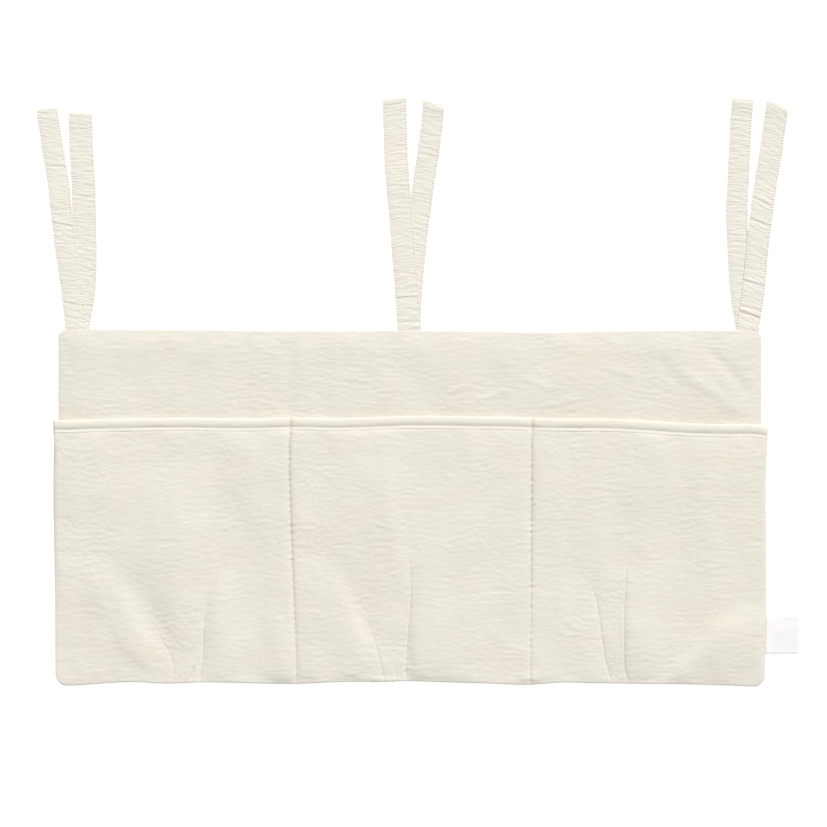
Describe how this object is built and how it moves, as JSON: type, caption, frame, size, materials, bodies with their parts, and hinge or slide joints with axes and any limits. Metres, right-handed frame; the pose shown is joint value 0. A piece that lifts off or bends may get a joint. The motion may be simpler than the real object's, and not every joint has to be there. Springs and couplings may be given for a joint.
{
  "type": "bedside caddy",
  "caption": "Hanging bedside caddy of padded muslin: a flat back panel with a row of bound pockets, pairs of sewn ties along its top edge and a small side label.",
  "frame": {"origin": "middle of the flat back face, on the surface that the caddy lies on", "axes": "+X along the width, to the right seen from the pockets' side; +Y up towards the ties; +Z out of the pockets' side"},
  "size_m": [0.6409, 0.495, 0.018],
  "materials": {
    "muslin": "matte",
    "binding_muslin": "matte",
    "tie_muslin": "matte",
    "wadding": "matte",
    "thread": "satin",
    "label_satin": "satin"
  },
  "bodies": {
    "caddy": {"back_cover": "muslin", "panel_wadding": "wadding", "panel_face": "muslin", "pocket_lining": "muslin", "pocket_wadding": "wadding", "pocket_face": "muslin", "pocket_binding": "binding_muslin", "binding_stitch": "thread", "divider_stitch_left": "thread", "divider_stitch_right": "thread", "closing_stitch": "thread"},
    "side_label": {"side_label": "label_satin"},
    "tie_left_front": {"tie_left_front": "tie_muslin", "tie_left_front_stitch": "thread"},
    "tie_left_rear": {"tie_left_rear": "tie_muslin", "tie_left_rear_stitch": "thread"},
    "tie_middle_front": {"tie_middle_front": "tie_muslin", "tie_middle_front_stitch": "thread"},
    "tie_middle_rear": {"tie_middle_rear": "tie_muslin", "tie_middle_rear_stitch": "thread"},
    "tie_right_rear": {"tie_right_rear": "tie_muslin", "tie_right_rear_stitch": "thread"},
    "tie_right_front": {"tie_right_front": "tie_muslin", "tie_right_front_stitch": "thread"}
  },
  "joints": [
    {"name": "tie_left_front_fold", "type": "hinge", "parent": "caddy", "child": "tie_left_front", "pos_m": [-0.28061, 0.15027, 0.0033], "axis": [1, 0, 0], "range_deg": [0, 135]},
    {"name": "tie_left_rear_fold", "type": "hinge", "parent": "caddy", "child": "tie_left_rear", "pos_m": [-0.27981, 0.15026, 0.0009], "axis": [1, 0, 0], "range_deg": [-135, 0]},
    {"name": "tie_middle_front_fold", "type": "hinge", "parent": "caddy", "child": "tie_middle_front", "pos_m": [-0.00041, 0.14913, 0.0033], "axis": [1, 0, 0], "range_deg": [0, 135]},
    {"name": "tie_middle_rear_fold", "type": "hinge", "parent": "caddy", "child": "tie_middle_rear", "pos_m": [0, 0.14913, 0.0009], "axis": [1, 0, 0], "range_deg": [-135, 0]},
    {"name": "tie_right_rear_fold", "type": "hinge", "parent": "caddy", "child": "tie_right_rear", "pos_m": [0.28321, 0.14926, 0.0009], "axis": [1, 0, 0], "range_deg": [-135, 0]},
    {"name": "tie_right_front_fold", "type": "hinge", "parent": "caddy", "child": "tie_right_front", "pos_m": [0.28401, 0.14927, 0.0033], "axis": [1, 0, 0], "range_deg": [0, 135]},
    {"name": "side_label_fold", "type": "hinge", "parent": "caddy", "child": "side_label", "pos_m": [0.29987, -0.108, 0.00325], "axis": [0, -1, 0], "range_deg": [-90, 90]}
  ]
}
